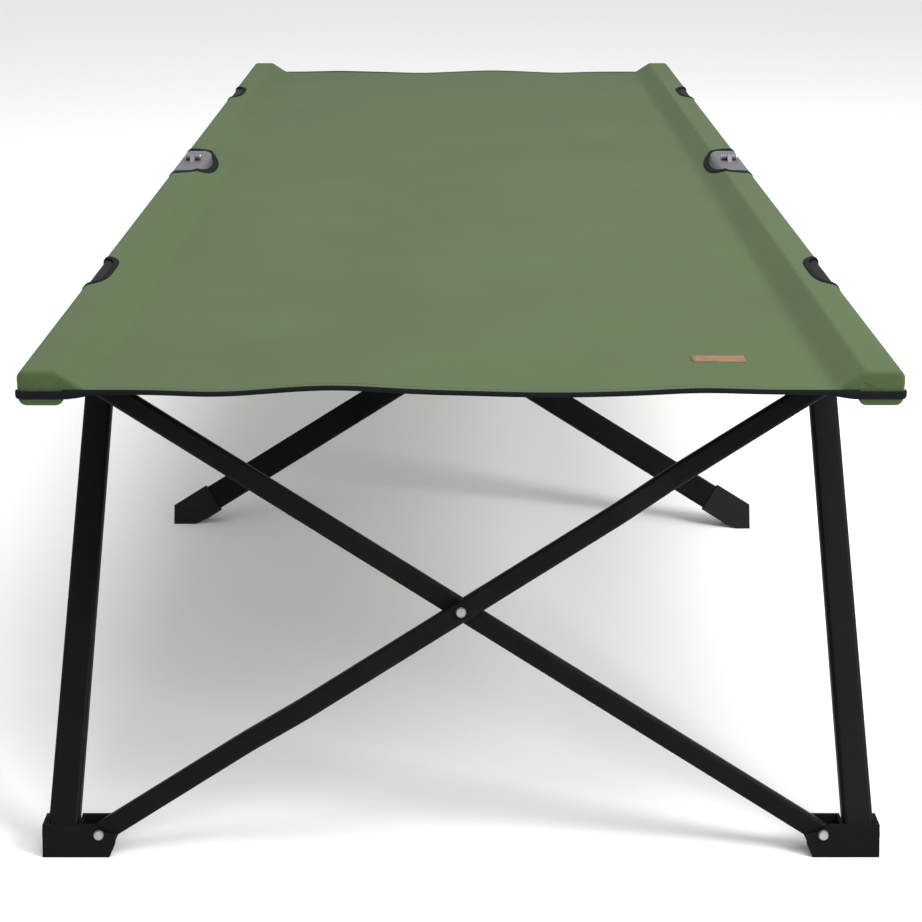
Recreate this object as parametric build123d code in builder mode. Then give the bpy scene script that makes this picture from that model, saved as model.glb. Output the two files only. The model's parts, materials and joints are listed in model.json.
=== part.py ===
"""Folding cot: two sleeved side rails, hinged at mid length, on three scissor frames.

+X is across the cot, +Y along it and +Z up. The origin is on the floor, under the middle.
Millimetres. "Front" is the end at -Y and "rear" the end at +Y. Pieces that come in left and
right, or front and rear, are modelled once at +X, -Y and mirrored.
"""
import os
from math import acos, atan2, cos, hypot, sin, tan

from build123d import *

os.makedirs("parts", exist_ok=True)

# Overall size of the fabric.
LENGTH = 2100.0
WIDTH = 800.0
FABRIC_TOP = 466.0
FABRIC = 1.1
FABRIC_GAP = 0.4

# Side rails: rounded box tube.
RAIL_W = 38.0
RAIL_H = 30.0
RAIL_CORNER = 6.0
WALL = 1.2

# Scissor bars, outer legs and middle bars: width seen from the end, and thickness.
BAR_W = 20.0
BAR_T = 16.0
BAR_CORNER = 4.0
LEG_W = 29.0
LEG_T = 15.0
MID_W = 34.0
MID_T = 16.0
MID_END_R = 11.4

# Pivots of the end frames, as (y, z), and the half distance between a pair of pivots.
PIVOT_X = 344.5
TOP_Y = -970.0
TOP_Z = 432.0
FOOT_Y = -1086.0
FOOT_Z = 17.5
SADDLE_Y = -705.0
SADDLE_Z = 412.0
LEG_SPLAY = 4.0
JOGGLE = 17.0
JOGGLE_START = 0.205
JOGGLE_END = 0.285
JOGGLE_R = 60.0

# Middle frame: its top pivots and the place of its feet.
MID_Y = -35.0
MID_Z = 428.2
MID_FOOT_X = 385.0
MID_FOOT_Z = 10.0
MID_PLANE_GAP = 0.6

# Sheet steel, rivets and clearances.
PLATE = 2.5
RIVET_R = 4.0
RIVET_HEAD_R = 5.0
RIVET_HEAD_H = 2.2
RIVET_TAPER = 24
LEG_HEAD_R = 6.0
LEG_HEAD_H = 1.6
LEG_HEAD_TAPER = 20
RUNNING = 0.06
SIDE_GAP = 0.6

# Rail hinge: grey fittings over the tube ends, with a pin above them.
FITTING_L = 75.0
FITTING_WALL = 2.0
BUTT_GAP = 0.2
END_PLATE = 3.0
PIN_RISE = 4.5
KNUCKLE_R = 4.2
PIN_R = 2.2
PIN_HEAD_R = 3.8
PIN_HEAD_H = 1.5
PIN_HEAD_TAPER = 15
PIN_END = 0.3
TAB_HALF = 3.0
TAB_L = 14.0
TAB_END = 0.6
TAB_GAP = 0.4

# Rail lug, end plug and leg saddle.
LUG_W = 30.0
LUG_H = 32.0
LUG_RISE = 4.0
LUG_CORNER = 6.0
CAP_FLANGE = 3.0
CAP_DEPTH = 18.0
CAP_WALL = 2.0
CAP_GAP = 0.1
SADDLE_HALF = 14.0
SADDLE_TIP = 8.0
SADDLE_DROP = 11.0
EAR = 2.0
CLEVIS_BACK = 2.2
CUT_BLOCK = 80.0

# Foot bracket and its pocket for the outer leg; FOOT_SLOPE is what is cut away about the rivet.
FOOT_IN = 329.0
FOOT_OUT = 398.0
FOOT_TOP = 30.0
FOOT_BASE = 3.0
FOOT_BEVEL = 6.0
FOOT_SLOPE = ((6, 30), (6, 11), (-6, 3), (-30, -1), (-30, 30))
POCKET_WALL = 3.0
POCKET_GAP_IN = 1.5
POCKET_GAP_OUT = 1.2

# Moulded shoe on a middle bar, and the bar's taper towards its top pivot.
SHOE_OUT = 398.0
SHOE_WALL = 2.2
SHOE_TOP = 48.0
SHOE_GAP = 0.05
SHOE_END = 0.15
SHOE_FLOOR = 2.9
BAR_TAPER = 45.0

# Openings in the fabric.
LEG_CUT = (-730.0, -595.0)
LEG_CUT_DEPTH = 20.0
HINGE_CUT = 90.0
HINGE_CUT_DEPTH = 50.0
DECK_DROP = 18.0
DECK_EDGE_DROP = 3.8
DECK_CREASE_X = 337.0
DECK_T = 2.5
DECK_GAP = 0.5
LUG_NOTCH = 40.0

# Values that follow from the driving dimensions.
rail_x = WIDTH / 2 - FABRIC - FABRIC_GAP - RAIL_W / 2
rail_z = FABRIC_TOP - FABRIC - FABRIC_GAP - RAIL_H / 2
rail_inner = rail_x - RAIL_W / 2
rail_bottom = rail_z - RAIL_H / 2
rail_end = -LENGTH / 2 + 5.0
frame_rise = hypot(TOP_Y - FOOT_Y, TOP_Z - FOOT_Z)
frame_lean = atan2(TOP_Y - FOOT_Y, TOP_Z - FOOT_Z)
bar_length = hypot(2 * PIVOT_X, frame_rise)
bar_angle = atan2(frame_rise, 2 * PIVOT_X)
mid_length = (PIVOT_X + MID_FOOT_X) / cos(bar_angle)
mid_lean = acos((MID_Z - MID_FOOT_Z) / (mid_length * sin(bar_angle)))
ear_gap = BAR_T + 2 * SIDE_GAP
ear_span = ear_gap + 2 * PLATE
lug_face = rail_inner - PLATE
saddle_half = LEG_W / 2 + 1.0
saddle_x = rail_x + LEG_SPLAY


def save(part, label):
    """Label a finished piece and write it to its own STEP file."""
    part.label = label
    export_step(part, f"parts/{label}.step")
    return part


def mirrored(part, about, label):
    """Write the mirror image of a piece under a new name."""
    with BuildPart() as copy:
        mirror(part, about=about)
    return save(copy.part, label)


def save_sides(part, name):
    """Write a front piece made at +X as a right and a left piece."""
    save(part, name.format("right"))
    mirrored(part, Plane.YZ, name.format("left"))


def save_corners(part, name):
    """Write a piece made at +X, -Y at all four corners."""
    save_sides(part, name.format("{}_front"))
    with BuildPart() as rear:
        mirror(part, about=Plane.XZ)
    save_sides(rear.part, name.format("{}_rear"))


def save_ends(part, name):
    """Write a piece of the front frame and its mirror image at the rear."""
    save(part, name.format("front"))
    mirrored(part, Plane.XZ, name.format("rear"))


def plane_at(x, y, z, lean):
    """A plane across a scissor frame's pivot axes: x across the cot, y up along the frame."""
    return Plane(origin=(x, y, z), x_dir=(1, 0, 0), z_dir=(0, -cos(lean), sin(lean)))


def turned(plane, angle):
    """The same plane with its x and y axes turned by an angle about its normal."""
    x_dir = plane.x_dir * cos(angle) + plane.y_dir * sin(angle)
    return Plane(origin=plane.origin, x_dir=x_dir, z_dir=plane.z_dir)


def box_section(width, thick, corner):
    """Sketch the wall of a rounded box tube."""
    RectangleRounded(width, thick, corner)
    RectangleRounded(width - 2 * WALL, thick - 2 * WALL, corner - WALL, mode=Mode.SUBTRACT)


def cross_hole(plane, radius, reach, mode=Mode.SUBTRACT):
    """Cut or add a round bar along a plane's normal, both ways from its origin."""
    with BuildSketch(plane) as outline:
        Circle(radius)
    extrude(outline.sketch, amount=reach, both=True, mode=mode)


def rivet(plane, low, high):
    """Add a domed rivet along a plane's normal, with its heads outside low and high."""
    with BuildSketch(plane.offset(low)) as shank:
        Circle(RIVET_R)
    extrude(shank.sketch, amount=high - low)
    for face, way in ((high, 1), (low, -1)):
        with BuildSketch(plane.offset(face)) as head:
            Circle(RIVET_HEAD_R)
        extrude(head.sketch, amount=way * RIVET_HEAD_H, taper=RIVET_TAPER)


# Side rails, with the lug for the end frame's swivel welded to the inner side.
pin_plane = Plane(origin=(lug_face, TOP_Y, TOP_Z), x_dir=(0, 1, 0), z_dir=(1, 0, 0))
with BuildPart() as rail:
    with BuildSketch(Plane(origin=(rail_x, rail_end, rail_z), x_dir=(1, 0, 0), z_dir=(0, 1, 0))):
        box_section(RAIL_W, RAIL_H, RAIL_CORNER)
    extrude(amount=-rail_end - END_PLATE - BUTT_GAP)
    with BuildSketch(pin_plane):
        with Locations((0, LUG_RISE)):
            RectangleRounded(LUG_W, LUG_H, LUG_CORNER)
    extrude(amount=PLATE)
    cross_hole(pin_plane, RIVET_R, 3 * PLATE)
save_corners(rail.part, "rail_{}")

# Plastic plug in each rail's outer end.
with BuildPart() as end_cap:
    with BuildSketch(Plane(origin=(rail_x, rail_end, rail_z), x_dir=(1, 0, 0), z_dir=(0, 1, 0))):
        RectangleRounded(RAIL_W, RAIL_H, RAIL_CORNER)
    extrude(amount=-CAP_FLANGE)
    plug_w = RAIL_W - 2 * (WALL + CAP_GAP)
    plug_h = RAIL_H - 2 * (WALL + CAP_GAP)
    with BuildSketch(Plane(origin=(rail_x, rail_end, rail_z), x_dir=(1, 0, 0), z_dir=(0, 1, 0))):
        RectangleRounded(plug_w, plug_h, RAIL_CORNER - WALL)
        RectangleRounded(plug_w - 2 * CAP_WALL, plug_h - 2 * CAP_WALL,
                         RAIL_CORNER - WALL - CAP_WALL, mode=Mode.SUBTRACT)
    extrude(amount=CAP_DEPTH)
save_corners(end_cap.part, "end_cap_{}")

# Grey hinge fitting over each rail's inner end, with one knuckle in front and two at the rear.
fitting_w = RAIL_W + 2 * FITTING_WALL
fitting_h = RAIL_H + 2 * FITTING_WALL
fitting_top = rail_z + fitting_h / 2
pin_z = fitting_top + PIN_RISE
tab_top = pin_z + KNUCKLE_R - 0.1


def knuckle(centre, half):
    """Add a hinge tab, round about the pin, on top of a fitting."""
    with BuildSketch(Plane.YZ.offset(centre - half)) as side:
        with Locations((0, pin_z)):
            Circle(KNUCKLE_R)
        with BuildLine():
            Polyline((-TAB_L, fitting_top), (-TAB_END, fitting_top), (-TAB_END, tab_top),
                     (-KNUCKLE_R, tab_top), close=True)
        make_face()
    extrude(side.sketch, amount=2 * half)


def fitting(tabs):
    """A closed-end sleeve over the tube with hinge tabs, given as (centre, half width)."""
    with BuildPart() as sleeve:
        plane = Plane(origin=(rail_x, -FITTING_L, rail_z), x_dir=(1, 0, 0), z_dir=(0, 1, 0))
        with BuildSketch(plane):
            RectangleRounded(fitting_w, fitting_h, RAIL_CORNER + FITTING_WALL)
        extrude(amount=FITTING_L - BUTT_GAP)
        with BuildSketch(plane):
            RectangleRounded(RAIL_W, RAIL_H, RAIL_CORNER)
        extrude(amount=FITTING_L - BUTT_GAP - END_PLATE, mode=Mode.SUBTRACT)
        for centre, half in tabs:
            knuckle(rail_x + centre, half)
        pin_axis = Plane(origin=(rail_x, 0, pin_z), x_dir=(0, 1, 0), z_dir=(1, 0, 0))
        cross_hole(pin_axis, PIN_R + RUNNING, RAIL_W)
    return sleeve.part


tab_offset = 2 * TAB_HALF + TAB_GAP
front_fitting = fitting([(0, TAB_HALF)])
save_sides(front_fitting, "hinge_fitting_{}_front")
with BuildPart() as rear_fitting:
    mirror(fitting([(-tab_offset, TAB_HALF), (tab_offset, TAB_HALF)]), about=Plane.XZ)
save_sides(rear_fitting.part, "hinge_fitting_{}_rear")

# Saddle under each rail for the top of an outer leg: two ears along the rail.
with BuildPart() as saddle:
    ear_low = SADDLE_Z - SADDLE_DROP
    shoulder = SADDLE_Z + SADDLE_TIP
    with BuildSketch(Plane(origin=(saddle_x - saddle_half - EAR, SADDLE_Y, 0), x_dir=(0, 1, 0),
                           z_dir=(1, 0, 0))):
        with BuildLine():
            Polyline((-SADDLE_HALF, rail_bottom), (-SADDLE_HALF, shoulder), (-SADDLE_TIP, ear_low),
                     (SADDLE_TIP, ear_low), (SADDLE_HALF, shoulder), (SADDLE_HALF, rail_bottom),
                     close=True)
        make_face()
    extrude(amount=2 * (saddle_half + EAR))
    with BuildSketch(Plane(origin=(saddle_x, SADDLE_Y, rail_bottom - CLEVIS_BACK))):
        Rectangle(2 * saddle_half, CUT_BLOCK)
    extrude(amount=-CUT_BLOCK, mode=Mode.SUBTRACT)
    saddle_axis = Plane(origin=(saddle_x, SADDLE_Y, SADDLE_Z), x_dir=(0, 1, 0), z_dir=(1, 0, 0))
    cross_hole(saddle_axis, RIVET_R, RAIL_W)
save_corners(saddle.part, "leg_saddle_{}")

# Clevis on the rail fitting that carries the top of a middle bar.
mid_offset = (MID_T + MID_PLANE_GAP) / 2


def mid_point(x, drop, offset):
    """A point of the middle frame: x, distance below the top pivots, offset to the front."""
    y = MID_Y - drop * sin(mid_lean) - offset * cos(mid_lean)
    z = MID_Z - drop * cos(mid_lean) + offset * sin(mid_lean)
    return x, y, z


def mid_bracket(offset):
    """A clevis with its two ears about a middle bar, made at +X."""
    face = rail_inner - FITTING_WALL
    with BuildPart() as clevis:
        plane = plane_at(*mid_point(PIVOT_X, 0, offset), mid_lean)
        with BuildSketch(plane):
            Circle(MID_END_R)
            with Locations(((face - PIVOT_X) / 2, 0)):
                Rectangle(face - PIVOT_X, 2 * MID_END_R)
        extrude(amount=ear_span / 2, both=True)
        with BuildSketch(plane):
            with Locations((face - PIVOT_X - CLEVIS_BACK - CUT_BLOCK / 2, 0)):
                Rectangle(CUT_BLOCK, CUT_BLOCK)
        extrude(amount=ear_gap / 2, both=True, mode=Mode.SUBTRACT)
        cross_hole(plane, RIVET_R, ear_span)
    return clevis.part


save(mid_bracket(-mid_offset), "mid_bracket_right")
mirrored(mid_bracket(mid_offset), Plane.YZ, "mid_bracket_left")

# Pins and rivets held by each rail: swivel pin, saddle rivets, hinge pin, middle bar rivet.
mid_rivet_plane = plane_at(*mid_point(PIVOT_X, 0, 0), mid_lean)


def rail_rivets(hinge_pin, mid_rivet):
    """The fasteners that stay with one rail, made at +X, -Y."""
    with BuildPart() as pins:
        with BuildSketch(pin_plane.offset(-PLATE - PIN_END)):
            Circle(RIVET_R)
        extrude(amount=2 * PLATE + PIN_END)
        for side in (-1, 1):
            with BuildSketch(saddle_axis.offset(side * saddle_half)):
                Circle(RIVET_R)
            extrude(amount=side * EAR)
            with BuildSketch(saddle_axis.offset(side * (saddle_half + EAR))):
                Circle(LEG_HEAD_R)
            extrude(amount=side * LEG_HEAD_H, taper=LEG_HEAD_TAPER)
        if hinge_pin:
            reach = tab_offset + TAB_HALF + PIN_END
            with BuildSketch(Plane.YZ.offset(rail_x - reach)):
                with Locations((0, pin_z)):
                    Circle(PIN_R)
            extrude(amount=2 * reach)
            for side in (-1, 1):
                with BuildSketch(Plane.YZ.offset(rail_x + side * reach)):
                    with Locations((0, pin_z)):
                        Circle(PIN_HEAD_R)
                extrude(amount=side * PIN_HEAD_H, taper=PIN_HEAD_TAPER)
        if mid_rivet:
            rivet(mid_rivet_plane.offset(mid_rivet * mid_offset), -ear_span / 2, ear_span / 2)
    return pins.part


save(rail_rivets(True, -1), "rail_rivets_right_front")
mirrored(rail_rivets(True, 1), Plane.YZ, "rail_rivets_left_front")
with BuildPart() as rear_rivets:
    mirror(rail_rivets(False, 0), about=Plane.XZ)
save_sides(rear_rivets.part, "rail_rivets_{}_rear")

# Swivel clevis: turns on the rail's pin and holds the top of a scissor bar.
top_plane = plane_at(PIVOT_X, TOP_Y, TOP_Z, frame_lean)
swivel_outer = lug_face - SIDE_GAP
swivel_inner = swivel_outer - CLEVIS_BACK
with BuildPart() as swivel:
    with BuildSketch(top_plane):
        Circle(BAR_W / 2 + 1)
        with Locations(((swivel_outer - PIVOT_X) / 2, 0)):
            Rectangle(swivel_outer - PIVOT_X, BAR_W + 2)
    extrude(amount=ear_span / 2, both=True)
    with BuildSketch(top_plane):
        with Locations((swivel_inner - PIVOT_X - CUT_BLOCK / 2, 0)):
            Rectangle(CUT_BLOCK, CUT_BLOCK)
    extrude(amount=ear_gap / 2, both=True, mode=Mode.SUBTRACT)
    cross_hole(top_plane, RIVET_R, ear_span)
    cross_hole(pin_plane, RIVET_R + RUNNING, 3 * PLATE)
save_corners(swivel.part, "swivel_{}")

with BuildPart() as swivel_rivet:
    rivet(top_plane, -ear_span / 2, ear_span / 2)
save_corners(swivel_rivet.part, "swivel_rivet_{}")

# Scissor bars of the end frames. Bar A is straight and runs from top left to bottom right.
# Bar B runs from bottom left to top right and steps forward over bar A in the middle.
centre_plane = plane_at(0, (TOP_Y + FOOT_Y) / 2, (TOP_Z + FOOT_Z) / 2, frame_lean)


def bar_plane(side):
    """The centre plane turned so that its x runs along a bar, rising towards side * X."""
    return turned(centre_plane, side * bar_angle)


def trim_bar(plane):
    """Round a bar's ends about its pivots and drill its three rivet holes."""
    with BuildSketch(plane) as outline:
        SlotOverall(bar_length + BAR_W, BAR_W)
    extrude(outline.sketch, amount=3 * BAR_T, both=True, mode=Mode.INTERSECT)
    for place in (-bar_length / 2, 0, bar_length / 2):
        hole_plane = plane.shift_origin(plane.from_local_coords(Vector(place, 0, 0)))
        cross_hole(hole_plane, RIVET_R + RUNNING, 3 * BAR_T)


plane_a = bar_plane(-1)
with BuildPart() as bar_a:
    start = plane_a.from_local_coords(Vector(-bar_length / 2 - BAR_W / 2, 0, 0))
    with BuildSketch(Plane(origin=start, x_dir=plane_a.y_dir, z_dir=plane_a.x_dir)):
        box_section(BAR_W, BAR_T, BAR_CORNER)
    extrude(amount=bar_length + BAR_W)
    trim_bar(plane_a)
save_ends(bar_a.part, "cross_bar_a_{}")

plane_b = bar_plane(1)
with BuildPart() as bar_b:
    half = bar_length / 2 + BAR_W / 2
    step_out = bar_length * (0.5 - JOGGLE_START)
    step_in = bar_length * (0.5 - JOGGLE_END)
    route_plane = Plane(origin=plane_b.origin, x_dir=plane_b.x_dir, z_dir=-plane_b.y_dir)
    with BuildLine(route_plane) as route:
        FilletPolyline((-half, 0), (-step_out, 0), (-step_in, JOGGLE), (step_in, JOGGLE),
                       (step_out, 0), (half, 0), radius=JOGGLE_R)
    with BuildSketch(Plane(origin=route.line @ 0, x_dir=plane_b.y_dir, z_dir=route.line % 0)):
        box_section(BAR_W, BAR_T, BAR_CORNER)
    sweep(path=route.line)
    trim_bar(plane_b)
save_ends(bar_b.part, "cross_bar_b_{}")

with BuildPart() as centre_rivet:
    rivet(centre_plane, -BAR_T / 2, JOGGLE + BAR_T / 2)
save_ends(centre_rivet.part, "centre_rivet_{}")

# Foot bracket: a leaning U channel with a pocket for the outer leg at its outer end.
partition_x = rail_x - LEG_W / 2 - POCKET_GAP_IN - POCKET_WALL
outer_wall = FOOT_OUT - rail_x - LEG_W / 2 - POCKET_GAP_OUT


def lean_y(z, offset):
    """Where the plane at an offset behind the frame's plane meets the height z."""
    return FOOT_Y + (z - FOOT_Z) * tan(frame_lean) + offset / cos(frame_lean)


def channel(low, back, front, x_from, x_to, mode=Mode.ADD):
    """Extrude a leaning block along X between two offsets and above a height."""
    with BuildSketch(Plane.YZ.offset(x_from)) as side:
        with BuildLine():
            Polyline((lean_y(low, front), low), (lean_y(FOOT_TOP, front), FOOT_TOP),
                     (lean_y(FOOT_TOP, back), FOOT_TOP), (lean_y(low, back), low), close=True)
        make_face()
    extrude(side.sketch, amount=x_to - x_from, mode=mode)


foot_plane = plane_at(PIVOT_X, FOOT_Y, FOOT_Z, frame_lean)
leg_pin_axis = Plane(origin=(rail_x, FOOT_Y, FOOT_Z), x_dir=(0, 1, 0), z_dir=(1, 0, 0))
with BuildPart() as foot:
    channel(0, ear_span / 2, -ear_span / 2, FOOT_IN, FOOT_OUT)
    channel(FOOT_BASE, ear_gap / 2, -ear_gap / 2, FOOT_IN, partition_x, Mode.SUBTRACT)
    channel(FOOT_BASE, ear_span, -ear_gap / 2, partition_x + POCKET_WALL,
            FOOT_OUT - outer_wall, Mode.SUBTRACT)
    with BuildSketch(Plane.XZ.offset(-FOOT_Y - CUT_BLOCK / 2)):
        with BuildLine():
            Polyline((FOOT_IN, -1), (FOOT_IN + FOOT_BEVEL, -1), (FOOT_IN, 2 * FOOT_BEVEL), close=True)
        make_face()
    extrude(amount=CUT_BLOCK, mode=Mode.SUBTRACT)
    with BuildSketch(foot_plane):
        with BuildLine():
            Polyline(*FOOT_SLOPE, close=True)
        make_face()
    extrude(amount=ear_span, mode=Mode.SUBTRACT)
    cross_hole(foot_plane, RIVET_R, ear_span)
    cross_hole(leg_pin_axis, RIVET_R, RAIL_W)
save_corners(foot.part, "foot_bracket_{}")

with BuildPart() as foot_rivets:
    rivet(foot_plane, -ear_span / 2, ear_span / 2)
    with BuildSketch(Plane.YZ.offset(partition_x)):
        with Locations((FOOT_Y, FOOT_Z)):
            Circle(RIVET_R)
    extrude(amount=FOOT_OUT - partition_x)
    for face, way in ((partition_x, -1), (FOOT_OUT, 1)):
        with BuildSketch(Plane.YZ.offset(face)):
            with Locations((FOOT_Y, FOOT_Z)):
                Circle(LEG_HEAD_R)
        extrude(amount=way * LEG_HEAD_H, taper=LEG_HEAD_TAPER)
save_corners(foot_rivets.part, "foot_rivets_{}")

# Outer leg: box tube from the foot bracket up to the rail's saddle.
leg_length = hypot(SADDLE_Y - FOOT_Y, SADDLE_Z - FOOT_Z)
leg_run = Vector(LEG_SPLAY, SADDLE_Y - FOOT_Y, SADDLE_Z - FOOT_Z)
leg_dir = leg_run.normalized()
with BuildPart() as leg:
    low_end = Vector(rail_x, FOOT_Y, FOOT_Z) - leg_dir * LEG_T / 2
    with BuildSketch(Plane(origin=low_end, x_dir=(1, 0, 0), z_dir=leg_dir)):
        box_section(LEG_W, LEG_T, BAR_CORNER)
    extrude(amount=leg_run.length + LEG_T)
    side_plane = Plane(origin=(rail_x, (FOOT_Y + SADDLE_Y) / 2, (FOOT_Z + SADDLE_Z) / 2),
                       x_dir=(0, leg_run.Y, leg_run.Z), z_dir=(1, 0, 0))
    with BuildSketch(side_plane):
        SlotOverall(leg_length + LEG_T, LEG_T)
    extrude(amount=LEG_W, both=True, mode=Mode.INTERSECT)
    cross_hole(leg_pin_axis, RIVET_R + RUNNING, LEG_W)
    cross_hole(saddle_axis, RIVET_R + RUNNING, LEG_W)
save_corners(leg.part, "outer_leg_{}")

# Middle frame: two flat box bars with moulded shoes, crossing under the middle of the cot.
def mid_bar_plane(offset):
    """Plane along a middle bar that falls towards +X, with its origin at the top pivot."""
    flat = plane_at(*mid_point(-PIVOT_X, 0, offset), mid_lean)
    return turned(flat, -bar_angle)


def bar_outline(end, half):
    """Sketch the side of a middle bar: tapered and round at the top pivot."""
    Circle(MID_END_R)
    Polygon((0, -MID_END_R), (BAR_TAPER, -half), (end, -half), (end, half), (BAR_TAPER, half),
            (0, MID_END_R), align=None)


def mid_bar(offset):
    """A middle bar that falls towards +X."""
    plane = mid_bar_plane(offset)
    with BuildPart() as bar:
        start_point = plane.from_local_coords(Vector(-MID_END_R, 0, 0))
        with BuildSketch(Plane(origin=start_point, x_dir=plane.y_dir, z_dir=plane.x_dir)):
            box_section(MID_W, MID_T, BAR_CORNER)
        extrude(amount=mid_length + SHOE_TOP)
        with BuildSketch(plane):
            bar_outline(mid_length + SHOE_TOP, MID_W / 2)
        extrude(amount=MID_T, both=True, mode=Mode.INTERSECT)
        split(bisect_by=Plane.XY.offset(SHOE_FLOOR + SHOE_END), keep=Keep.TOP)
        split(bisect_by=Plane.YZ.offset(SHOE_OUT - SHOE_WALL - SHOE_END), keep=Keep.BOTTOM)
        for place in (0, PIVOT_X / cos(bar_angle)):
            hole_plane = plane.shift_origin(plane.from_local_coords(Vector(place, 0, 0)))
            cross_hole(hole_plane, RIVET_R + RUNNING, 3 * MID_T)
    return bar.part


def shoe_block(plane, half_w, half_t, floor, out):
    """A block about a middle bar's lower end, cut off at a height and at a distance out."""
    with BuildPart() as block:
        with BuildSketch(plane):
            with Locations((mid_length, 0)):
                Rectangle(2 * SHOE_TOP, 2 * half_w)
        extrude(amount=half_t, both=True)
        split(bisect_by=Plane.XY.offset(floor), keep=Keep.TOP)
        split(bisect_by=Plane.YZ.offset(out), keep=Keep.BOTTOM)
    return block.part


def mid_shoe(offset):
    """The moulded shoe on a middle bar that falls towards +X: a block hollowed for the bar."""
    plane = mid_bar_plane(offset)
    upper = plane.shift_origin(plane.from_local_coords(Vector(-SHOE_WALL, 0, 0)))
    with BuildPart() as shoe:
        add(shoe_block(plane, MID_W / 2 + SHOE_WALL, MID_T / 2 + SHOE_WALL, 0, SHOE_OUT))
        add(shoe_block(upper, MID_W / 2 + SHOE_GAP, MID_T / 2 + SHOE_GAP, SHOE_FLOOR,
                       SHOE_OUT - SHOE_WALL), mode=Mode.SUBTRACT)
    return shoe.part


save(mid_bar(mid_offset), "mid_bar_front")
save(mid_shoe(mid_offset), "mid_shoe_right")
mirrored(mid_bar(-mid_offset), Plane.YZ, "mid_bar_rear")
mirrored(mid_shoe(-mid_offset), Plane.YZ, "mid_shoe_left")
crossing = plane_at(*mid_point(0, PIVOT_X * tan(bar_angle), 0), mid_lean)
with BuildPart() as mid_rivet:
    rivet(crossing, -mid_offset - MID_T / 2, mid_offset + MID_T / 2)
save(mid_rivet.part, "mid_rivet")

# Fabric: a sleeve round each rail and a panel between the sleeves.
sleeve_half_w = RAIL_W / 2 + FABRIC_GAP
sleeve_half_h = RAIL_H / 2 + FABRIC_GAP
with BuildPart() as sleeve:
    sleeve_start = Plane(origin=(rail_x, -LENGTH / 2, rail_z), x_dir=(1, 0, 0), z_dir=(0, 1, 0))
    with BuildSketch(sleeve_start):
        RectangleRounded(2 * (sleeve_half_w + FABRIC), 2 * (sleeve_half_h + FABRIC),
                         RAIL_CORNER + FABRIC_GAP + FABRIC)
    extrude(amount=LENGTH / 2 - HINGE_CUT)
    with BuildSketch(sleeve_start.offset(FABRIC)):
        RectangleRounded(2 * sleeve_half_w, 2 * sleeve_half_h, RAIL_CORNER + FABRIC_GAP)
    extrude(amount=LENGTH / 2, mode=Mode.SUBTRACT)
    cut_middle = sum(LEG_CUT) / 2
    cut_length = LEG_CUT[1] - LEG_CUT[0]
    below = Plane.XY.offset(rail_z - RAIL_H)
    with BuildSketch(below):
        with Locations((WIDTH / 2, cut_middle)):
            Rectangle(2 * LEG_CUT_DEPTH, cut_length)
    extrude(amount=2 * RAIL_H, mode=Mode.SUBTRACT)
    with BuildSketch(below):
        with Locations((rail_x, cut_middle)):
            Rectangle(2 * RAIL_W, cut_length)
    extrude(amount=RAIL_H, mode=Mode.SUBTRACT)
    with BuildSketch(below):
        with Locations((rail_inner, TOP_Y)):
            Rectangle(LUG_NOTCH / 4, LUG_NOTCH)
    extrude(amount=RAIL_H + LUG_RISE, mode=Mode.SUBTRACT)
save_corners(sleeve.part, "sleeve_{}")

deck_edge = rail_inner - FABRIC_GAP - FABRIC - DECK_GAP
with BuildPart() as deck:
    with BuildSketch(Plane(origin=(0, -LENGTH / 2, 0), x_dir=(1, 0, 0), z_dir=(0, -1, 0))):
        with BuildLine():
            low = FABRIC_TOP - DECK_DROP
            edge = FABRIC_TOP - DECK_EDGE_DROP
            top_points = [(-deck_edge, edge), (-DECK_CREASE_X, low), (DECK_CREASE_X, low),
                          (deck_edge, edge)]
            under_points = [(x, z - DECK_T) for x, z in reversed(top_points)]
            Polyline(*top_points, *under_points, close=True)
        make_face()
    extrude(amount=-(LENGTH / 2 - DECK_GAP))
    with BuildSketch(Plane.XY.offset(rail_bottom)):
        for side in (-1, 1):
            with Locations((side * WIDTH / 2, 0)):
                Rectangle(2 * HINGE_CUT_DEPTH, 2 * HINGE_CUT)
    extrude(amount=RAIL_H * 2, mode=Mode.SUBTRACT)
save_ends(deck.part, "deck_{}")
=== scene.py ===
"""Looks of the folding cot: cloth deck and sleeves, bindings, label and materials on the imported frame.

Metres, in the frame's own axes: +X across the cot, +Y along it, +Z up. Front is the end at -Y.
Cloth pieces are worked out once for the right side and the front end, and mirrored by signs.
"""
import json
from math import cos, exp, hypot, log, pi, radians, sin

import bmesh
import bpy
import numpy as np
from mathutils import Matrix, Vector


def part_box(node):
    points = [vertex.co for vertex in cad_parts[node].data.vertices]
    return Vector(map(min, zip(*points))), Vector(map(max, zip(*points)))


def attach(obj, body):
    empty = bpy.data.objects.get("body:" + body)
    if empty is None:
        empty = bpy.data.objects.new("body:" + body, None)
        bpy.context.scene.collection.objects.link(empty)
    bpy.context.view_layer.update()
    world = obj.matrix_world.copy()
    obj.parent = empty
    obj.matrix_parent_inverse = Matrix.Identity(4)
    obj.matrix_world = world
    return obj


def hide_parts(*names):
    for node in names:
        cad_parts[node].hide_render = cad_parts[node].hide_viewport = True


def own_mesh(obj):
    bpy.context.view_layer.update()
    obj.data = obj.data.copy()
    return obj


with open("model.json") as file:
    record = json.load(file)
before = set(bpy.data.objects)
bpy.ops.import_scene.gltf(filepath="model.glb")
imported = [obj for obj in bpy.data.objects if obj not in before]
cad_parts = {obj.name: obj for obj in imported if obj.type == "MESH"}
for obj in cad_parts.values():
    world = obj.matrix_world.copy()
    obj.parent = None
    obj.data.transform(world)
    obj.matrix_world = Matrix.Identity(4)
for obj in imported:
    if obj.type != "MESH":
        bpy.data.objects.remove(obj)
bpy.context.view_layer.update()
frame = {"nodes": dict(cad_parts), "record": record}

SIDES = {"left": -1, "right": 1}
ENDS = {"front": -1, "rear": 1}

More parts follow.
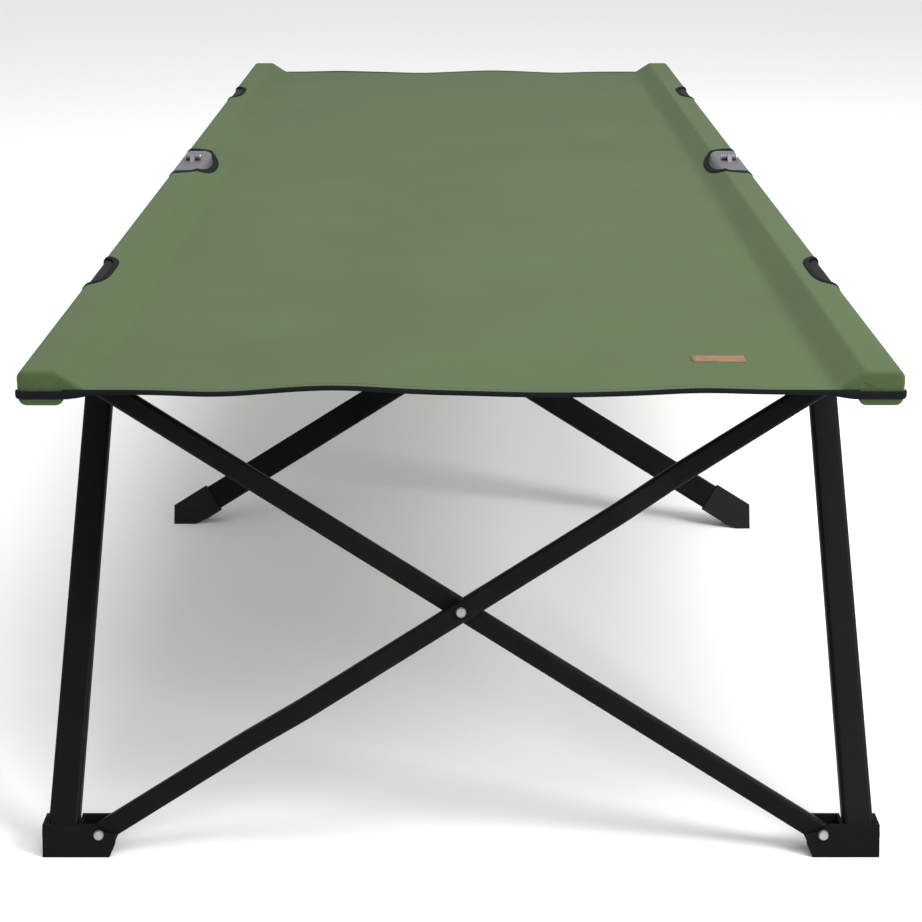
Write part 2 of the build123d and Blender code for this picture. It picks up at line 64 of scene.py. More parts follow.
# Sizes read from the frame.
sleeve_low, sleeve_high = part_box("sleeve_right_front")
HALF_LENGTH = -sleeve_low[1]
OUTER_X = sleeve_high[0]
TOP_Z = sleeve_high[2]
BOTTOM_Z = sleeve_low[2]
INNER_X = sleeve_low[0]
HINGE_CUT = -sleeve_high[1]
SEAM_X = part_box("deck_front")[1][0]

# Cloth: thickness, how the deck hangs between the rails, and how round the sleeve's edges are.
CLOTH = 0.0009
CORNER = 0.0075
DECK_Z = TOP_Z - 0.018
CREASE_X = 0.337
CREASE_SOFT = 0.0016
END_ROUND = 0.0045
END_BULGE = 0.0012
MID_Z = (TOP_Z + BOTTOM_Z) / 2
DECK_SAG = 0.0025
RIPPLE = 0.00035
RIPPLE_WAVES = ((21, 3.1, 0.0), (9, -6.3, 1.0))
SLEEVE_TUCK = 0.0006

# Openings: hinge cut depth and shape, leg cut and lug slot as (middle y, half length, shape).
HINGE_DEPTH = 0.050
HINGE_SHAPE = 2.5
LEG_CUT = (-0.6625, 0.0675, 3.5)
LEG_CUT_X = 0.380
LUG_SLOT = (-0.970, 0.022, 5.0)
LUG_TOP = 0.4545
LUG_LOW_X = 0.3655
BETWEEN_HOLES = (0.03, 0.18)

# Waves of the hems as (x, height, width): bumps that die out away from the end.
HEM_WAVES = {
    "front": [(-0.225, -0.0022, 0.045), (-0.115, 0.0040, 0.060),
              (0.085, -0.0026, 0.085), (0.220, 0.0018, 0.045)],
    "rear": [(-0.240, 0.0016, 0.050), (-0.080, -0.0022, 0.060),
             (0.060, 0.0022, 0.060), (0.190, -0.0020, 0.050)],
}
HEM_REACH = 0.10

# Black tape: piping of the hems, bands over the rails' ends, and bindings of the openings.
PIPING_R = 0.0023
PIPING_DROP = 0.0012
PIPING_OUT = 0.0004
BAND_Z = 0.4443
BAND_HALF = 0.0038
BAND_START = 0.318
BAND_START_HALF = 0.0015
BAND_THICK = 0.0014
BAND_OUT = 0.0022
BAND_SIDE_OUT = 0.0010
LEG_BINDING_HALF = 0.0034
HINGE_BINDING_HALF = 0.0046
BINDING_THICK = 0.0011
LIFT = 0.0001

# Gusset beside a rail's end: how far it reaches past the crease and the sleeve, and stands out.
GUSSET_IN = 0.006
GUSSET_OUT = 0.0015
GUSSET_FRONT = 0.0002

# Stitches of the hems: distance from the end, half length of the row, pitch, stitch and thread.
STITCH_INSET = 0.010
STITCH_ROW = 0.33
STITCH_PITCH = 0.0045
STITCH_LENGTH = 0.0034
STITCH_R = 0.0002

# Label: where it lies on the deck, and its thickness in the middle and at its rim.
LABEL_X = (0.219, 0.270)
LABEL_Y = (-0.959, -0.938)
LABEL_THICK = 0.0010
LABEL_RIM = 0.0008
LABEL_SQUARE = 0.04


def slope_angle():
    """Angle of the straight cloth between the rail's rounded corner and the crease."""
    low, high = 0.1, 1.2
    for _ in range(40):
        a = (low + high) / 2
        run = INNER_X + CORNER - CORNER * sin(a) - CREASE_X
        rise = TOP_Z - CORNER + CORNER * cos(a) - DECK_Z
        if rise / run > sin(a) / cos(a):
            low = a
        else:
            high = a
    return a


SLOPE = slope_angle()
TANGENT_X = INNER_X + CORNER - CORNER * sin(SLOPE)
TANGENT_Z = TOP_Z - CORNER + CORNER * cos(SLOPE)


def hem_wave(x, y):
    """Height that the hem's waves add to the deck."""
    end = "front" if y < 0 else "rear"
    away = (HALF_LENGTH - abs(y)) / HEM_REACH
    fade = exp(-away * away)
    fade *= max(0.0, 1.0 - (abs(x) / CREASE_X) ** 6)
    return fade * sum(h * exp(-((x - c) / w) ** 2) for c, h, w in HEM_WAVES[end])


def deck_z(x, y):
    """Height of the deck's upper face."""
    climb = sin(SLOPE) / cos(SLOPE) * (abs(x) - CREASE_X) / CREASE_SOFT
    z = DECK_Z + CREASE_SOFT * (climb + log(1 + exp(-climb)) if climb > 0 else log(1 + exp(climb)))
    turn = min(max((abs(y) - HALF_LENGTH + END_ROUND) / END_ROUND, 0.0), 1.0)
    z -= min(END_ROUND, max(0.0, z - DECK_Z)) * (1.0 - (1.0 - turn * turn) ** 0.5)
    flat = max(0.0, 1.0 - (x / CREASE_X) ** 2)
    sag = DECK_SAG * flat * (1.0 - (y / HALF_LENGTH) ** 4)
    ripple = RIPPLE * flat * sum(sin(a * x + b * abs(y) + c) for a, b, c in RIPPLE_WAVES)
    return z - sag + ripple + hem_wave(x, y)


def section_stretches():
    """Straight and round stretches of the sleeve's cross-section, in order.

    They run from the seam with the deck over the top, down the outside, along the bottom and up
    the inside. A line has its two ends, and an arc its centre and its two angles.
    """
    seam = (SEAM_X, TANGENT_Z - (TANGENT_X - SEAM_X) * sin(SLOPE) / cos(SLOPE))
    left, right = INNER_X + CORNER, OUTER_X - CORNER
    top, low = TOP_Z - CORNER, BOTTOM_Z + CORNER
    inner_top = TOP_Z - CORNER - SLEEVE_TUCK
    return [
        ("line", seam, (TANGENT_X, TANGENT_Z)),
        ("arc", (left, top), pi / 2 + SLOPE, pi / 2),
        ("line", (left, TOP_Z), (right, TOP_Z)),
        ("arc", (right, top), pi / 2, 0.0),
        ("line", (OUTER_X, top), (OUTER_X, low)),
        ("arc", (right, low), 0.0, -pi / 2),
        ("line", (right, BOTTOM_Z), (left, BOTTOM_Z)),
        ("arc", (left, low), -pi / 2, -pi),
        ("line", (INNER_X, low), (INNER_X, inner_top)),
    ]


STRETCHES = section_stretches()


def stretch_length(item):
    """Length of one stretch of the section."""
    if item[0] == "line":
        return hypot(item[2][0] - item[1][0], item[2][1] - item[1][1])
    return CORNER * abs(item[3] - item[2])


LENGTHS = [stretch_length(item) for item in STRETCHES]
AROUND = sum(LENGTHS)


def section(s):
    """(x, z, normal x, normal z) of the sleeve's outer face at a length s from the seam."""
    for item, length in zip(STRETCHES, LENGTHS):
        if s <= length or item is STRETCHES[-1]:
            t = min(max(s / length, 0.0), 1.0)
            if item[0] == "line":
                (x0, z0), (x1, z1) = item[1], item[2]
                dx, dz = (x1 - x0) / length, (z1 - z0) / length
                return x0 + t * (x1 - x0), z0 + t * (z1 - z0), -dz, dx
            angle = item[2] + t * (item[3] - item[2])
            cx, cz = item[1]
            return cx + CORNER * cos(angle), cz + CORNER * sin(angle), cos(angle), sin(angle)
        s -= length


def end_section(s, inset):
    """(x, z) of the sleeve's outer face moved in by an inset, straight down at the seam like the deck."""
    x, z, nx, nz = section(s)
    if s < LENGTHS[0]:
        share = s / LENGTHS[0]
        nx, nz = nx * share, 1 + (nz - 1) * share
    return x - inset * nx, z - inset * nz


def length_to(index, share):
    """Length along the section to a share of one of its stretches."""
    return sum(LENGTHS[:index]) + share * LENGTHS[index]


def share_of(value, start, end):
    """Where a value lies between a start, 0, and an end, 1."""
    return (value - start) / (end - start)


outer_s = length_to(4, 0.0)
leg_from = length_to(2, share_of(LEG_CUT_X, INNER_X + CORNER, OUTER_X - CORNER))
leg_to = length_to(8, share_of(MID_Z, BOTTOM_Z + CORNER, TOP_Z - CORNER))
lug_from = length_to(6, share_of(LUG_LOW_X, OUTER_X - CORNER, INNER_X + CORNER))
lug_to = length_to(8, share_of(LUG_TOP, BOTTOM_Z + CORNER, TOP_Z - CORNER))
HOLES = [
    (LEG_CUT, (leg_from + leg_to) / 2, (leg_to - leg_from) / 2),
    (LUG_SLOT, (lug_from + lug_to) / 2, (lug_to - lug_from) / 2),
]


def opening(y):
    """(where the sleeve's two patches meet, half width of the hole there) at a place y."""
    (_, leg_s, _), (lug, lug_s, _) = HOLES
    gap, run = BETWEEN_HOLES
    blend = min(max((y - lug[0] - gap) / run, 0.0), 1.0)
    blend = blend * blend * (3 - 2 * blend)
    half = 0.0
    for (middle, reach, shape), _, size in HOLES:
        t = abs(y - middle) / reach
        if t < 1:
            half = size * (1 - t ** shape) ** (1 / shape)
    return lug_s + blend * (leg_s - lug_s), half


def hinge_edge(x):
    """Half length in y of the hinge cut at a place x."""
    t = (OUTER_X - x) / HINGE_DEPTH
    if t >= 1:
        return 0.0
    return HINGE_CUT * (1 - max(t, 0.0) ** HINGE_SHAPE) ** (1 / HINGE_SHAPE)


def edge_y(s):
    """Half length in y of the hinge cut at a length s along the sleeve's section."""
    return HINGE_CUT if s > outer_s else hinge_edge(section(s)[0])


# Meshes.
def make_mesh(name, points, faces, flip=False):
    """A new object from points and faces, with the faces turned over if it is a mirror image."""
    mesh = bpy.data.meshes.new(name)
    turned = [tuple(reversed(f)) if flip else tuple(f) for f in faces]
    mesh.from_pydata([tuple(p) for p in points], [], turned)
    work = bmesh.new()
    work.from_mesh(mesh)
    bmesh.ops.remove_doubles(work, verts=work.verts, dist=2e-6)
    loose = [v for v in work.verts if not v.link_faces]
    bmesh.ops.delete(work, geom=loose, context="VERTS")
    for face in work.faces:
        face.smooth = True
    work.to_mesh(mesh)
    work.free()
    obj = bpy.data.objects.new(name, mesh)
    bpy.context.scene.collection.objects.link(obj)
    return obj


def thicken(obj, thickness):
    """Give an open cloth face its thickness, inwards, as real mesh."""
    modifier = obj.modifiers.new("cloth", "SOLIDIFY")
    modifier.thickness = thickness
    modifier.offset = -1.0
    depsgraph = bpy.context.evaluated_depsgraph_get()
    mesh = bpy.data.meshes.new_from_object(obj.evaluated_get(depsgraph))
    obj.modifiers.clear()
    mesh.set_sharp_from_angle(angle=radians(50))
    obj.data = mesh


def grid_faces(rows, columns, first=0, stride=None):
    """Quads of a grid stored row by row."""
    stride = stride or columns
    faces = []
    for k in range(rows - 1):
        for i in range(columns - 1):
            a = first + k * stride + i
            faces.append((a, a + 1, a + stride + 1, a + stride))
    return faces


def finish_piece(obj, material, body):
    """Give a piece its one material and slot, and let it ride a body."""
    obj.data.materials.clear()
    obj.data.materials.append(material)
    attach(obj, body)
    return obj


def crumple(obj):
    """Give a deck piece a mesh of its own."""
    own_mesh(obj)


# Materials.
def new_material(name, colour, roughness, metallic=0.0, specular=0.5):
    """A new material with uniform values, its node tree and its shader."""
    material = bpy.data.materials.new(name)
    material.use_nodes = True
    shader = material.node_tree.nodes["Principled BSDF"]
    shader.inputs["Base Color"].default_value = (*colour, 1.0)
    shader.inputs["Roughness"].default_value = roughness
    shader.inputs["Metallic"].default_value = metallic
    shader.inputs["Specular IOR Level"].default_value = specular
    return material, material.node_tree, shader


def place(tree, scale=(1, 1, 1)):
    """Object coordinates, scaled."""
    coords = tree.nodes.new("ShaderNodeTexCoord")
    mapping = tree.nodes.new("ShaderNodeMapping")
    mapping.inputs["Scale"].default_value = scale
    tree.links.new(coords.outputs["Object"], mapping.inputs["Vector"])
    return mapping.outputs["Vector"]


def noise(tree, vector, scale, detail=3.0, roughness=0.55):
    """Fractal noise, from 0 to 1."""
    node = tree.nodes.new("ShaderNodeTexNoise")
    node.inputs["Scale"].default_value = scale
    node.inputs["Detail"].default_value = detail
    node.inputs["Roughness"].default_value = roughness
    tree.links.new(vector, node.inputs["Vector"])
    return node.outputs["Fac"]


def ramp(tree, value, low, high, at=(0.3, 0.7)):
    """Colour that goes from low to high as a value goes between two stops."""
    node = tree.nodes.new("ShaderNodeValToRGB")
    for stop, colour, place_at in zip(node.color_ramp.elements, (low, high), at):
        stop.color = (*colour, 1.0)
        stop.position = place_at
    tree.links.new(value, node.inputs["Fac"])
    return node.outputs["Color"]


def bump(tree, shader, height, strength, distance, before=None):
    """Relief from a height, on top of an earlier relief if there is one."""
    node = tree.nodes.new("ShaderNodeBump")
    node.inputs["Strength"].default_value = strength
    node.inputs["Distance"].default_value = distance
    tree.links.new(height, node.inputs["Height"])
    if before is not None:
        tree.links.new(before, node.inputs["Normal"])
    tree.links.new(node.outputs["Normal"], shader.inputs["Normal"])
    return node.outputs["Normal"]


def math_node(tree, operation, a, b):
    """One sum or product of sockets or numbers."""
    node = tree.nodes.new("ShaderNodeMath")
    node.operation = operation
    for socket, value in zip(node.inputs, (a, b)):
        if isinstance(value, (int, float)):
            socket.default_value = value
        else:
            tree.links.new(value, socket)
    return node.outputs["Value"]


def wave(tree, vector, direction, scale):
    """Bands across one axis, for the threads of a weave."""
    node = tree.nodes.new("ShaderNodeTexWave")
    node.bands_direction = direction
    node.inputs["Scale"].default_value = scale
    node.inputs["Distortion"].default_value = 0.4
    node.inputs["Detail"].default_value = 1.0
    tree.links.new(vector, node.inputs["Vector"])
    return node.outputs["Fac"]


def woven(name, colour, shade, roughness, threads, sheen=0.0, specular=0.25):
    """Plain weave: crossing threads in relief, with a faint mottle in the colour."""
    material, tree, shader = new_material(name, colour, roughness, specular=specular)
    shader.inputs["Sheen Weight"].default_value = sheen
    shader.inputs["Sheen Roughness"].default_value = 0.6
    vector = place(tree)
    broad = noise(tree, vector, 6.0, detail=4.0)
    light = tuple(c * (1 + shade) for c in colour)
    dark = tuple(c * (1 - shade) for c in colour)
    mottle = ramp(tree, broad, dark, light)
    fine = noise(tree, vector, threads * 1.5, detail=2.0)
    mix = tree.nodes.new("ShaderNodeMix")
    mix.data_type = "RGBA"
    mix.blend_type = "MULTIPLY"
    mix.inputs["Factor"].default_value = 0.5
    tree.links.new(mottle, mix.inputs["A"])
    tree.links.new(ramp(tree, fine, (0.86, 0.86, 0.86), (1.1, 1.1, 1.1)), mix.inputs["B"])
    tree.links.new(mix.outputs["Result"], shader.inputs["Base Color"])
    across = wave(tree, vector, "X", threads)
    along = wave(tree, vector, "Y", threads)
    up = wave(tree, vector, "Z", threads)
    weave = math_node(tree, "ADD", math_node(tree, "MULTIPLY", across, along), up)
    soft = bump(tree, shader, broad, 0.25, 0.002)
    bump(tree, shader, weave, 0.25, 0.0004, soft)
    return material


def painted_steel():
    """Black powder coat: fine orange peel and slightly uneven gloss."""
    material, tree, shader = new_material("black_powder_coat", (0.0045, 0.0048, 0.0054), 0.62,
                                          specular=0.07)
    vector = place(tree)
    peel = noise(tree, vector, 900.0, detail=2.0)
    worn = noise(tree, vector, 25.0, detail=5.0)
    tree.links.new(ramp(tree, worn, (0.0036, 0.0039, 0.0045), (0.0054, 0.0058, 0.0066)),
                   shader.inputs["Base Color"])
    tree.links.new(math_node(tree, "ADD", math_node(tree, "MULTIPLY", worn, 0.16), 0.46),
                   shader.inputs["Roughness"])
    bump(tree, shader, peel, 0.12, 0.0004)
    return material


def bright_metal(name, colour, roughness, stretch):
    """Bare plated metal with a faint directional grain."""
    material, tree, shader = new_material(name, colour, roughness, metallic=0.85)
    grain = noise(tree, place(tree, stretch), 60.0, detail=4.0)
    low, high = tuple(c * 0.86 for c in colour), tuple(min(1.0, c * 1.12) for c in colour)
    tree.links.new(ramp(tree, grain, low, high), shader.inputs["Base Color"])
    tree.links.new(math_node(tree, "ADD", math_node(tree, "MULTIPLY", grain, 0.2), roughness - 0.1),
                   shader.inputs["Roughness"])
    bump(tree, shader, grain, 0.08, 0.0003)
    return material


def moulded_plastic():
    """Black plastic with a fine moulded grain."""
    material, tree, shader = new_material("black_moulded_plastic", (0.008, 0.008, 0.009), 0.6,
                                          specular=0.15)
    vector = place(tree)
    grain = noise(tree, vector, 1400.0, detail=2.0)
    tone = ramp(tree, noise(tree, vector, 40.0), (0.0065, 0.0065, 0.0075), (0.0095, 0.0095, 0.0105))
    tree.links.new(tone, shader.inputs["Base Color"])
    bump(tree, shader, grain, 0.2, 0.0003)
    return material


def label_material():
    """Tan patch with fine pores and an uneven tone."""
    material, tree, shader = new_material("tan_patch", (0.25, 0.12, 0.068), 0.65, specular=0.2)
    vector = place(tree)
    pores = noise(tree, vector, 700.0, detail=4.0)
    tone = ramp(tree, noise(tree, vector, 90.0), (0.175, 0.097, 0.050), (0.223, 0.135, 0.071))
    tree.links.new(tone, shader.inputs["Base Color"])
    bump(tree, shader, pores, 0.3, 0.0003)
    return material


GREEN = woven("olive_cloth", (0.054, 0.088, 0.031), 0.05, 0.88, 500.0, sheen=0.04)
BINDING = woven("black_tape", (0.0065, 0.0075, 0.0095), 0.15, 0.85, 420.0, specular=0.08)
THREAD = woven("green_thread", (0.050, 0.082, 0.029), 0.05, 0.88, 900.0)
LABEL = label_material()
CAD_MATERIALS = {
    "black_steel": painted_steel(),
    "grey_steel": bright_metal("grey_steel", (0.17, 0.17, 0.185), 0.6, (40, 1, 1)),
    "zinc_rivet": bright_metal("zinc_rivet", (0.38, 0.38, 0.39), 0.45, (1, 1, 1)),
    "black_plastic": moulded_plastic(),
}
for item in frame["record"]["subparts"]:
    if item["material_slot"] in CAD_MATERIALS:
        mesh = frame["nodes"][item["node"]].data
        if not mesh.materials:
            mesh.materials.append(None)
        for index in range(len(mesh.materials)):
            mesh.materials[index] = CAD_MATERIALS[item["material_slot"]]


# Deck: points are closer together beside the crease and towards the free end.
DECK_FINE_X = 0.322
DECK_FINE_END = 0.12


def deck(end):
    """One sheet of a half of the cot, from rail to rail, with the hinge cuts in its inner corners."""
    sy = ENDS[end]
    slope_x = np.linspace(DECK_FINE_X, SEAM_X, 22)
    flat_x = np.linspace(-DECK_FINE_X, DECK_FINE_X, 84)[1:-1]
    across = np.concatenate([-slope_x[::-1], flat_x, slope_x])
    along = np.concatenate([DECK_FINE_END * np.linspace(0, 1, 56)[:-1] ** 2.2,
                            np.linspace(DECK_FINE_END, 1.0, 126)])
    points = []
    for t in along:
        for x in across:
            y = sy * (HALF_LENGTH - t * (HALF_LENGTH - hinge_edge(abs(x))))
            points.append((x, y, deck_z(x, y)))
    obj = make_mesh(f"deck_cloth_{end}", points, grid_faces(len(along), len(across)), flip=sy > 0)
    thicken(obj, CLOTH)
    finish_piece(obj, GREEN, f"rail_left_{end}")
    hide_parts(f"deck_{end}")
    return obj


# Sleeve: columns of points on the two sides of the holes, and where the rows for the hinge cut begin.
TOP_COLUMNS = 46
INNER_COLUMNS = 22
LAST_STATION = -0.16
CUT_ROWS = 14
ROUND_ROWS = 6
CAP_SHARES = (0.02, 0.3, 0.6, 0.85)
STATIONS = 150
HOLE_STEPS = 36
HOLE_MARGIN = 0.0015


def sleeve_stations():
    """Places along the sleeve, closer together where a hole's end is round."""
    places = list(np.linspace(-HALF_LENGTH + END_ROUND, LAST_STATION, STATIONS))
    for (middle, reach, _), _, _ in HOLES:
        places = [y for y in places if abs(y - middle) > reach + HOLE_MARGIN]
        places += [middle + reach * cos(pi * k / HOLE_STEPS) for k in range(HOLE_STEPS + 1)]
    return sorted(places)


def sleeve(side, end):
    """Cloth wrapped round a rail, with the leg cut, the lug slot and a closed outer end."""
    sx, sy = SIDES[side], ENDS[end]
    columns = TOP_COLUMNS + INNER_COLUMNS

    def row_lengths(y):
        split, half = opening(y)
        outer = [(split - half) * i / (TOP_COLUMNS - 1) for i in range(TOP_COLUMNS)]
        start = split + half
        inner = [start + (AROUND - start) * i / (INNER_COLUMNS - 1) for i in range(INNER_COLUMNS)]
        return outer + inner

    rows = []
    first = row_lengths(-HALF_LENGTH + END_ROUND)
    middle_x = (INNER_X + OUTER_X) / 2
    ring = [end_section(s, END_ROUND) for s in first]
    for share in CAP_SHARES:
        y = -HALF_LENGTH - END_BULGE * (1 - share ** 2)
        rows.append([(middle_x + share * (x - middle_x), y, MID_Z + share * (z - MID_Z)) for x, z in ring])
    for k in range(ROUND_ROWS):
        angle = pi / 2 * (1 - k / ROUND_ROWS)
        inset = END_ROUND * (1 - cos(angle))
        y = -HALF_LENGTH + END_ROUND * (1 - sin(angle))
        rows.append([(x, y, z) for x, z in (end_section(s, inset) for s in first)])
    cap_rows = len(rows)
    for y in sleeve_stations():
        rows.append([(section(s)[0], y, section(s)[1]) for s in row_lengths(y)])
    last = row_lengths(LAST_STATION)
    for k in range(1, CUT_ROWS + 1):
        t = k / CUT_ROWS
        rows.append([(section(s)[0], LAST_STATION + t * (-edge_y(s) - LAST_STATION), section(s)[1])
                     for s in last])
    points = [(sx * x, -sy * y, z) for row in rows for x, y, z in row]
    faces = grid_faces(len(rows), TOP_COLUMNS, 0, columns)
    faces += grid_faces(len(rows), INNER_COLUMNS, TOP_COLUMNS, columns)
    for k in range(cap_rows):
        a = k * columns
        faces.append((a + columns - 1, a, a + columns, a + 2 * columns - 1))
    obj = make_mesh(f"sleeve_cloth_{side}_{end}", points, faces, flip=sx * -sy < 0)
    thicken(obj, CLOTH)
    finish_piece(obj, GREEN, f"rail_{side}_{end}")
    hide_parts(f"sleeve_{side}_{end}")
    return obj


# Bindings.
def tape(name, path, half_widths, half_thick, closed=False):
    """A flat rounded section swept along (point, normal) pairs, with one half width or one for each."""
    if not hasattr(half_widths, "__len__"):
        half_widths = [half_widths] * len(path)
    sides = 12
    section_points = [(cos(2 * pi * k / sides), sin(2 * pi * k / sides)) for k in range(sides)]
    spots = [Vector(p) for p, _ in path]
    count = len(spots)
    points = []
    for k, (point, normal) in enumerate(path):
        ahead = spots[(k + 1) % count] if closed or k + 1 < count else spots[k]
        behind = spots[k - 1] if closed or k > 0 else spots[k]
        along = (ahead - behind).normalized()
        across = along.cross(Vector(normal)).normalized()
        up = across.cross(along).normalized()
        for u, v in section_points:
            u = abs(u) ** 0.6 * (1 if u > 0 else -1)
            points.append(Vector(point) + across * u * half_widths[k] + up * v * half_thick)
    faces = []
    for k in range(count if closed else count - 1):
        for i in range(sides):
            a, b = k * sides, (k + 1) % count * sides
            j = (i + 1) % sides
            faces.append((a + i, b + i, b + j, a + j))
    if not closed:
        faces.append(tuple(range(sides)))
        faces.append(tuple(reversed(range((count - 1) * sides, count * sides))))
    return make_mesh(name, points, faces)


def place_on(side, end, x, y, z):
    """A point worked out for the right front corner, moved to another corner."""
    return SIDES[side] * x, -ENDS[end] * y, z


def sleeve_spot(side, end, s, y):
    """A point just off a sleeve's outer face, and the normal there."""
    x, z, nx, nz = section(s)
    return place_on(side, end, x + LIFT * nx, y, z + LIFT * nz), (SIDES[side] * nx, 0.0, nz)


def leg_cut_binding(side, end):
    """Tape round the opening for an outer leg."""
    (middle, reach, shape), split, size = HOLES[0]
    path = []
    steps = 96
    for k in range(steps):
        angle = 2 * pi * k / steps
        c, s = cos(angle), sin(angle)
        c = abs(c) ** (2 / shape) * (1 if c > 0 else -1)
        s = abs(s) ** (2 / shape) * (1 if s > 0 else -1)
        path.append(sleeve_spot(side, end, split + size * s, middle + reach * c))
    obj = tape(f"leg_cut_binding_{side}_{end}", path, LEG_BINDING_HALF, BINDING_THICK, closed=True)
    return finish_piece(obj, BINDING, f"rail_{side}_{end}")


def hinge_cut_binding(side, end):
    """Tape along the hinge cut's edge, over the deck and then round the sleeve."""
    path = []
    deck_steps, sleeve_steps = 30, 90
    for k in range(deck_steps):
        x = OUTER_X - HINGE_DEPTH + (SEAM_X - OUTER_X + HINGE_DEPTH) * (k / deck_steps) ** 2
        y = -hinge_edge(x)
        path.append((place_on(side, end, x, min(y, -2 * LIFT), deck_z(x, y) + LIFT),
                     (-SIDES[side] * sin(SLOPE), 0.0, cos(SLOPE))))
    for s in np.linspace(0, AROUND, sleeve_steps):
        path.append(sleeve_spot(side, end, s, -edge_y(s)))
    obj = tape(f"hinge_cut_binding_{side}_{end}", path, HINGE_BINDING_HALF, BINDING_THICK)
    return finish_piece(obj, BINDING, f"rail_{side}_{end}")


def hem(end):
    """Piping along the deck's free end, level where the cloth climbs to the rails."""
    y = ENDS[end] * (HALF_LENGTH + PIPING_OUT)
    path = []
    for x in np.linspace(-SEAM_X, SEAM_X, 181):
        path.append(((x, y, DECK_Z - PIPING_DROP + hem_wave(x, y)), (0, 0, 1)))
    obj = tape(f"hem_piping_{end}", path, PIPING_R, PIPING_R)
    return finish_piece(obj, BINDING, f"rail_left_{end}")


def end_band(side, end):
    """The wider binding across a rail's covered end, which grows out of the piping and turns the corner."""
    path = []
    widths = []
    for x in np.linspace(BAND_START, OUTER_X - END_ROUND, 28):
        growth = min(max(share_of(x, BAND_START, SEAM_X), 0.0), 1.0)
        growth = growth * growth * (3 - 2 * growth)
        y = -HALF_LENGTH - PIPING_OUT - (BAND_OUT - PIPING_OUT) * growth
        z = DECK_Z - PIPING_DROP + growth * (BAND_Z - DECK_Z + PIPING_DROP)
        path.append((place_on(side, end, x, y, z), (0, ENDS[end], 0)))
        widths.append(BAND_START_HALF + growth * (BAND_HALF - BAND_START_HALF))
    turn_steps = 8
    for k in range(1, turn_steps + 1):
        angle = pi / 2 * k / turn_steps
        x = OUTER_X - END_ROUND + (END_ROUND + BAND_SIDE_OUT) * sin(angle)
        y = -HALF_LENGTH + END_ROUND - (END_ROUND + BAND_OUT) * cos(angle)
        path.append((place_on(side, end, x, y, BAND_Z),
                     (SIDES[side] * sin(angle), ENDS[end] * cos(angle), 0)))
    widths += [BAND_HALF] * turn_steps
    obj = tape(f"end_band_{side}_{end}", path, widths, BAND_THICK)
    return finish_piece(obj, BINDING, f"rail_{side}_{end}")


def gusset(side, end):
    """The corner of cloth between the level hem and the climbing deck, beside a rail's end."""
    xs = np.linspace(CREASE_X - GUSSET_IN, INNER_X + END_ROUND + GUSSET_OUT, 24)
    levels = 5
    y = -HALF_LENGTH - GUSSET_FRONT
    points = []
    for x in xs:
        top = deck_z(min(x, SEAM_X), y)
        for z in np.linspace(BAND_Z, top, levels):
            points.append(place_on(side, end, x, y, z))
    obj = make_mesh(f"end_gusset_{side}_{end}", points, grid_faces(len(xs), levels),
                    flip=SIDES[side] * -ENDS[end] > 0)
    thicken(obj, CLOTH)
    return finish_piece(obj, GREEN, f"rail_{side}_{end}")


# Stitches and label.
def stitch_row(name, start, finish_at):
    """Small thread loops in a straight row on the deck."""
    length, radius = STITCH_LENGTH, STITCH_R
    rings, sides = 5, 6
    start, finish_at = Vector(start), Vector(finish_at)
    along = (finish_at - start).normalized()
    count = int((finish_at - start).length / STITCH_PITCH)
    side_way = Vector((-along.y, along.x, 0))
    points, faces = [], []
    for k in range(count):
        middle = start + along * STITCH_PITCH * (k + 0.5)
        base = len(points)
        for i in range(rings):
            u = (i / (rings - 1) - 0.5) * length
            rise = radius * (1 - (2 * u / length) ** 2)
            for j in range(sides):
                angle = 2 * pi * j / sides
                p = middle + along * u + side_way * radius * cos(angle)
                z = deck_z(p.x, p.y) + rise + radius * (0.6 * sin(angle) - 0.2)
                points.append((p.x, p.y, z))
        for i in range(rings - 1):
            for j in range(sides):
                a, b = base + i * sides + j, base + i * sides + (j + 1) % sides
                faces.append((a, b, b + sides, a + sides))
        faces.append(tuple(reversed(range(base, base + sides))))
        faces.append(tuple(range(len(points) - sides, len(points))))
    return make_mesh(name, points, faces)


def label():
    """A plain patch, raised by its own thickness, with nearly square corners."""
    (x0, x1), (y0, y1) = LABEL_X, LABEL_Y
    middle = ((x0 + x1) / 2, (y0 + y1) / 2)
    half = ((x1 - x0) / 2, (y1 - y0) / 2)
    points, faces = [], []
    steps, sides = 6, 64
    for ring in range(steps + 2):
        share = min(ring, steps) / steps
        for k in range(sides):
            angle = 2 * pi * k / sides
            c = abs(cos(angle)) ** LABEL_SQUARE * (1 if cos(angle) > 0 else -1)
            s = abs(sin(angle)) ** LABEL_SQUARE * (1 if sin(angle) > 0 else -1)
            x, y = middle[0] + half[0] * share * c, middle[1] + half[1] * share * s
            lift = LABEL_THICK if ring < steps else LABEL_RIM if ring == steps else 0.0
            points.append((x, y, deck_z(x, y) + lift))
    for ring in range(steps + 1):
        for k in range(sides):
            a, b = ring * sides + k, ring * sides + (k + 1) % sides
            faces.append((a, a + sides, b + sides, b))
    obj = make_mesh("label_patch", points, faces)
    return finish_piece(obj, LABEL, "rail_left_front")


decks = {end: deck(end) for end in ENDS}
hems = {end: hem(end) for end in ENDS}
for side in SIDES:
    for end in ENDS:
        sleeve(side, end)
        leg_cut_binding(side, end)
        hinge_cut_binding(side, end)
        end_band(side, end)
        gusset(side, end)

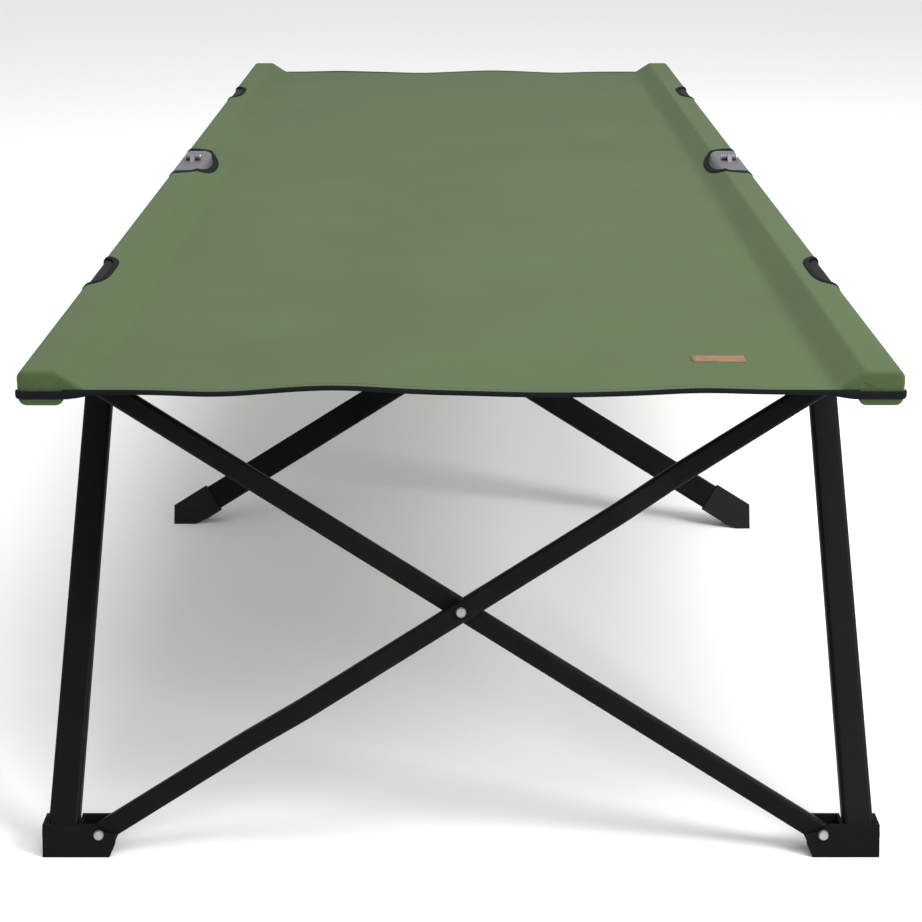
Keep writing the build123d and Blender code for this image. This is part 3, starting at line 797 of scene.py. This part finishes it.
deck_extras = [label()]
for end, sy in ENDS.items():
    y = sy * (HALF_LENGTH - STITCH_INSET)
    row = stitch_row(f"hem_stitches_{end}", (-STITCH_ROW, y, 0), (STITCH_ROW, y, 0))
    deck_extras.append(finish_piece(row, THREAD, f"rail_left_{end}"))
for piece in [*decks.values(), *hems.values(), *deck_extras]:
    crumple(piece)

# Floor, light and camera.
FLOOR_REACH = 14.0
floor_mesh = bpy.data.meshes.new("floor")
corners = [(x * FLOOR_REACH, y * FLOOR_REACH, 0) for x, y in ((-1, -1), (1, -1), (1, 1), (-1, 1))]
floor_mesh.from_pydata(corners, [], [(0, 1, 2, 3)])
floor = bpy.data.objects.new("floor", floor_mesh)
bpy.context.scene.collection.objects.link(floor)
floor_mesh.materials.append(new_material("pale_floor", (0.93, 0.93, 0.93), 0.9, specular=0.1)[0])

WORLD_STRENGTH = 0.80
world = bpy.data.worlds.new("studio")
world.use_nodes = True
world.node_tree.nodes["Background"].inputs["Color"].default_value = (1.0, 1.0, 1.0, 1.0)
world.node_tree.nodes["Background"].inputs["Strength"].default_value = WORLD_STRENGTH
bpy.context.scene.world = world
bpy.context.scene.view_settings.view_transform = "Standard"


def softbox(name, place_at, aim, size, watts):
    """A round area light at a place, turned to a point."""
    light = bpy.data.lights.new(name, "AREA")
    light.shape = "DISK"
    light.size = size
    light.energy = watts
    obj = bpy.data.objects.new(name, light)
    obj.location = place_at
    obj.rotation_euler = (Vector(aim) - Vector(place_at)).to_track_quat("-Z", "Y").to_euler()
    bpy.context.scene.collection.objects.link(obj)


softbox("top_light", (0.6, -0.4, 3.6), (0, 0, 0.3), 3.0, 95)
softbox("key_light", (3.0, -2.2, 2.6), (0, -0.3, 0.4), 1.8, 125)

CAMERA_PLACE = (0.0, -2.688, 0.9525)
CAMERA_TILT = radians(19.23)
CAMERA_LENS = 74.33
camera_data = bpy.data.cameras.new("camera")
camera_data.lens = CAMERA_LENS
camera_data.sensor_width = 36.0
camera = bpy.data.objects.new("camera", camera_data)
camera.location = CAMERA_PLACE
camera.rotation_euler = (pi / 2 - CAMERA_TILT, 0.0, 0.0)
bpy.context.scene.collection.objects.link(camera)
bpy.context.scene.camera = camera
